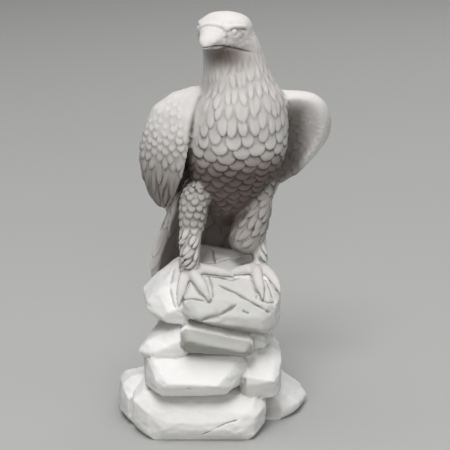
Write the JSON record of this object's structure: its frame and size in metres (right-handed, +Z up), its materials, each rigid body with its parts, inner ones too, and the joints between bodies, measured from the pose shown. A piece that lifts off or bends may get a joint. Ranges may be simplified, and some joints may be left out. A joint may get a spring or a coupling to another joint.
{
  "type": "eagle statue",
  "caption": "Cast-stone garden statue of a standing eagle, head turned aside and one wing half open, on a pile of rock slabs.",
  "frame": {"origin": "middle of the footprint, on the floor", "axes": "+Z up; the statue faces -Y, with its breast turned a little to +X and its head to -X"},
  "size_m": [0.3644, 0.286, 0.7001],
  "materials": {
    "body_stone": "matt cast stone, feathers in relief, grey-brown wash in the grooves",
    "feather_stone": "matt cast stone, long feathers in relief, grey-brown wash in the grooves",
    "bare_stone": "matt cast stone, fairly smooth",
    "eye_stone": "matt cast stone, smooth",
    "rock_stone": "matt pale cast stone, pitted, with rough broken edges"
  },
  "bodies": {
    "root": {"bill_lower": "bare_stone", "bill_upper": "bare_stone", "claw_left_hind": "bare_stone", "claw_left_inner": "bare_stone", "claw_left_middle": "bare_stone", "claw_left_outer": "bare_stone", "claw_right_hind": "bare_stone", "claw_right_inner": "bare_stone", "claw_right_middle": "bare_stone", "claw_right_outer": "bare_stone", "eye_left": "eye_stone", "eye_right": "eye_stone", "flight_left": "feather_stone", "flight_right": "feather_stone", "head": "body_stone", "neck": "body_stone", "rock_back_middle": "rock_stone", "rock_back_upper": "rock_stone", "rock_base_back": "rock_stone", "rock_base_left": "rock_stone", "rock_base_right": "rock_stone", "rock_core": "rock_stone", "rock_middle_right": "rock_stone", "rock_perch": "rock_stone", "rock_shoulder": "rock_stone", "shank_left": "body_stone", "shank_right": "body_stone", "slab_base_front": "rock_stone", "slab_front": "rock_stone", "slab_upper_front": "rock_stone", "slab_upper_left": "rock_stone", "slab_upper_right": "rock_stone", "tail": "feather_stone", "thigh_left": "body_stone", "thigh_right": "body_stone", "toe_left_hind": "bare_stone", "toe_left_inner": "bare_stone", "toe_left_middle": "bare_stone", "toe_left_outer": "bare_stone", "toe_right_hind": "bare_stone", "toe_right_inner": "bare_stone", "toe_right_middle": "bare_stone", "toe_right_outer": "bare_stone", "trunk": "body_stone", "wing_left": "feather_stone", "wing_right": "feather_stone"}
  },
  "joints": []
}
